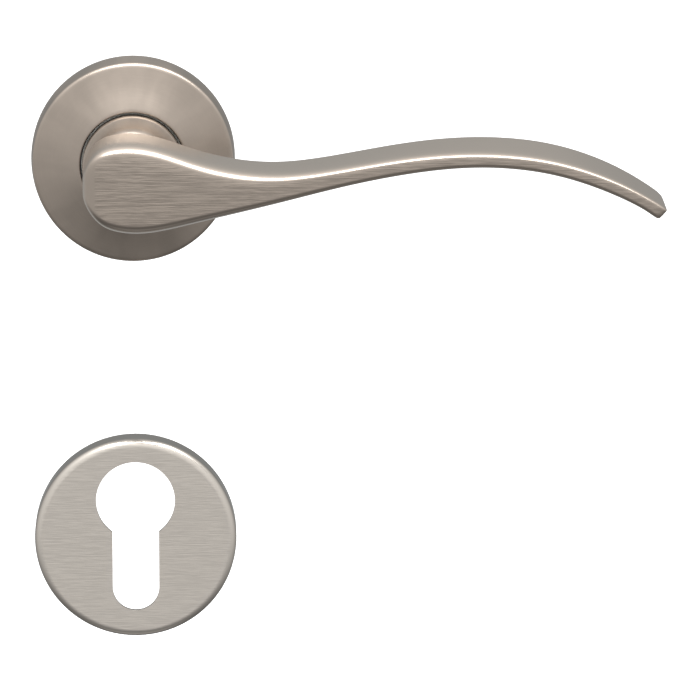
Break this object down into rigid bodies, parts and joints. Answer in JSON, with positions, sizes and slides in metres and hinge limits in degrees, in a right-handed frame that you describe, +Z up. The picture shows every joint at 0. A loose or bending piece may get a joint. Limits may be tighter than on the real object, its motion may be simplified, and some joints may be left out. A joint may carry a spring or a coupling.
{
  "type": "door lever handle",
  "caption": "Wave-shaped satin nickel door lever turning on a domed round rose, with a separate round profile-cylinder escutcheon below it.",
  "frame": {"origin": "where the spindle's axis meets the face of the door", "axes": "+Z up, +X along the lever towards its tip, -Y out of the door into the room; the door's face is the plane Y = 0"},
  "size_m": [0.153, 0.113, 0.1446],
  "materials": {
    "satin_nickel_lever": "satin nickel, front face brushed along its length",
    "satin_nickel_cover": "satin nickel, turned on the rose and brushed level on the escutcheon",
    "bar_steel": "drawn",
    "blackened_steel": "blackened",
    "spring_steel": "oiled",
    "zinc_plated_steel": "bright zinc plated",
    "nylon": "matt",
    "die_cast_zinc": "as cast"
  },
  "bodies": {
    "door_side": {"rose_base": "die_cast_zinc", "bearing_bush": "nylon", "rose_bolt_left": "zinc_plated_steel", "rose_bolt_right": "zinc_plated_steel", "rose_sleeve_left": "zinc_plated_steel", "rose_sleeve_right": "zinc_plated_steel", "escutcheon_base": "die_cast_zinc", "escutcheon_bolt_left": "zinc_plated_steel", "escutcheon_bolt_right": "zinc_plated_steel", "escutcheon_sleeve_left": "zinc_plated_steel", "escutcheon_sleeve_right": "zinc_plated_steel"},
    "lever_side": {"lever": "satin_nickel_lever", "spindle": "bar_steel", "grub_screw": "blackened_steel", "retaining_ring": "spring_steel", "wave_washer": "spring_steel", "spring_driver": "zinc_plated_steel", "return_spring": "spring_steel"},
    "rose_cap": {"rose_cover": "satin_nickel_cover"},
    "escutcheon_cap": {"escutcheon_cover": "satin_nickel_cover"}
  },
  "joints": [
    {"name": "lever_turn", "type": "hinge", "parent": "door_side", "child": "lever_side", "pos_m": [0, 0, 0], "axis": [0, 1, 0], "range_deg": [0, 45], "stiffness_Nm_per_rad": 0.9, "springref_deg": -28.65, "deforming": ["return_spring"]},
    {"name": "rose_cover_slide", "type": "slide", "parent": "door_side", "child": "rose_cap", "axis": [0, -1, 0], "range_m": [0, 0.02]},
    {"name": "escutcheon_cover_slide", "type": "slide", "parent": "door_side", "child": "escutcheon_cap", "axis": [0, -1, 0], "range_m": [0, 0.02]}
  ]
}
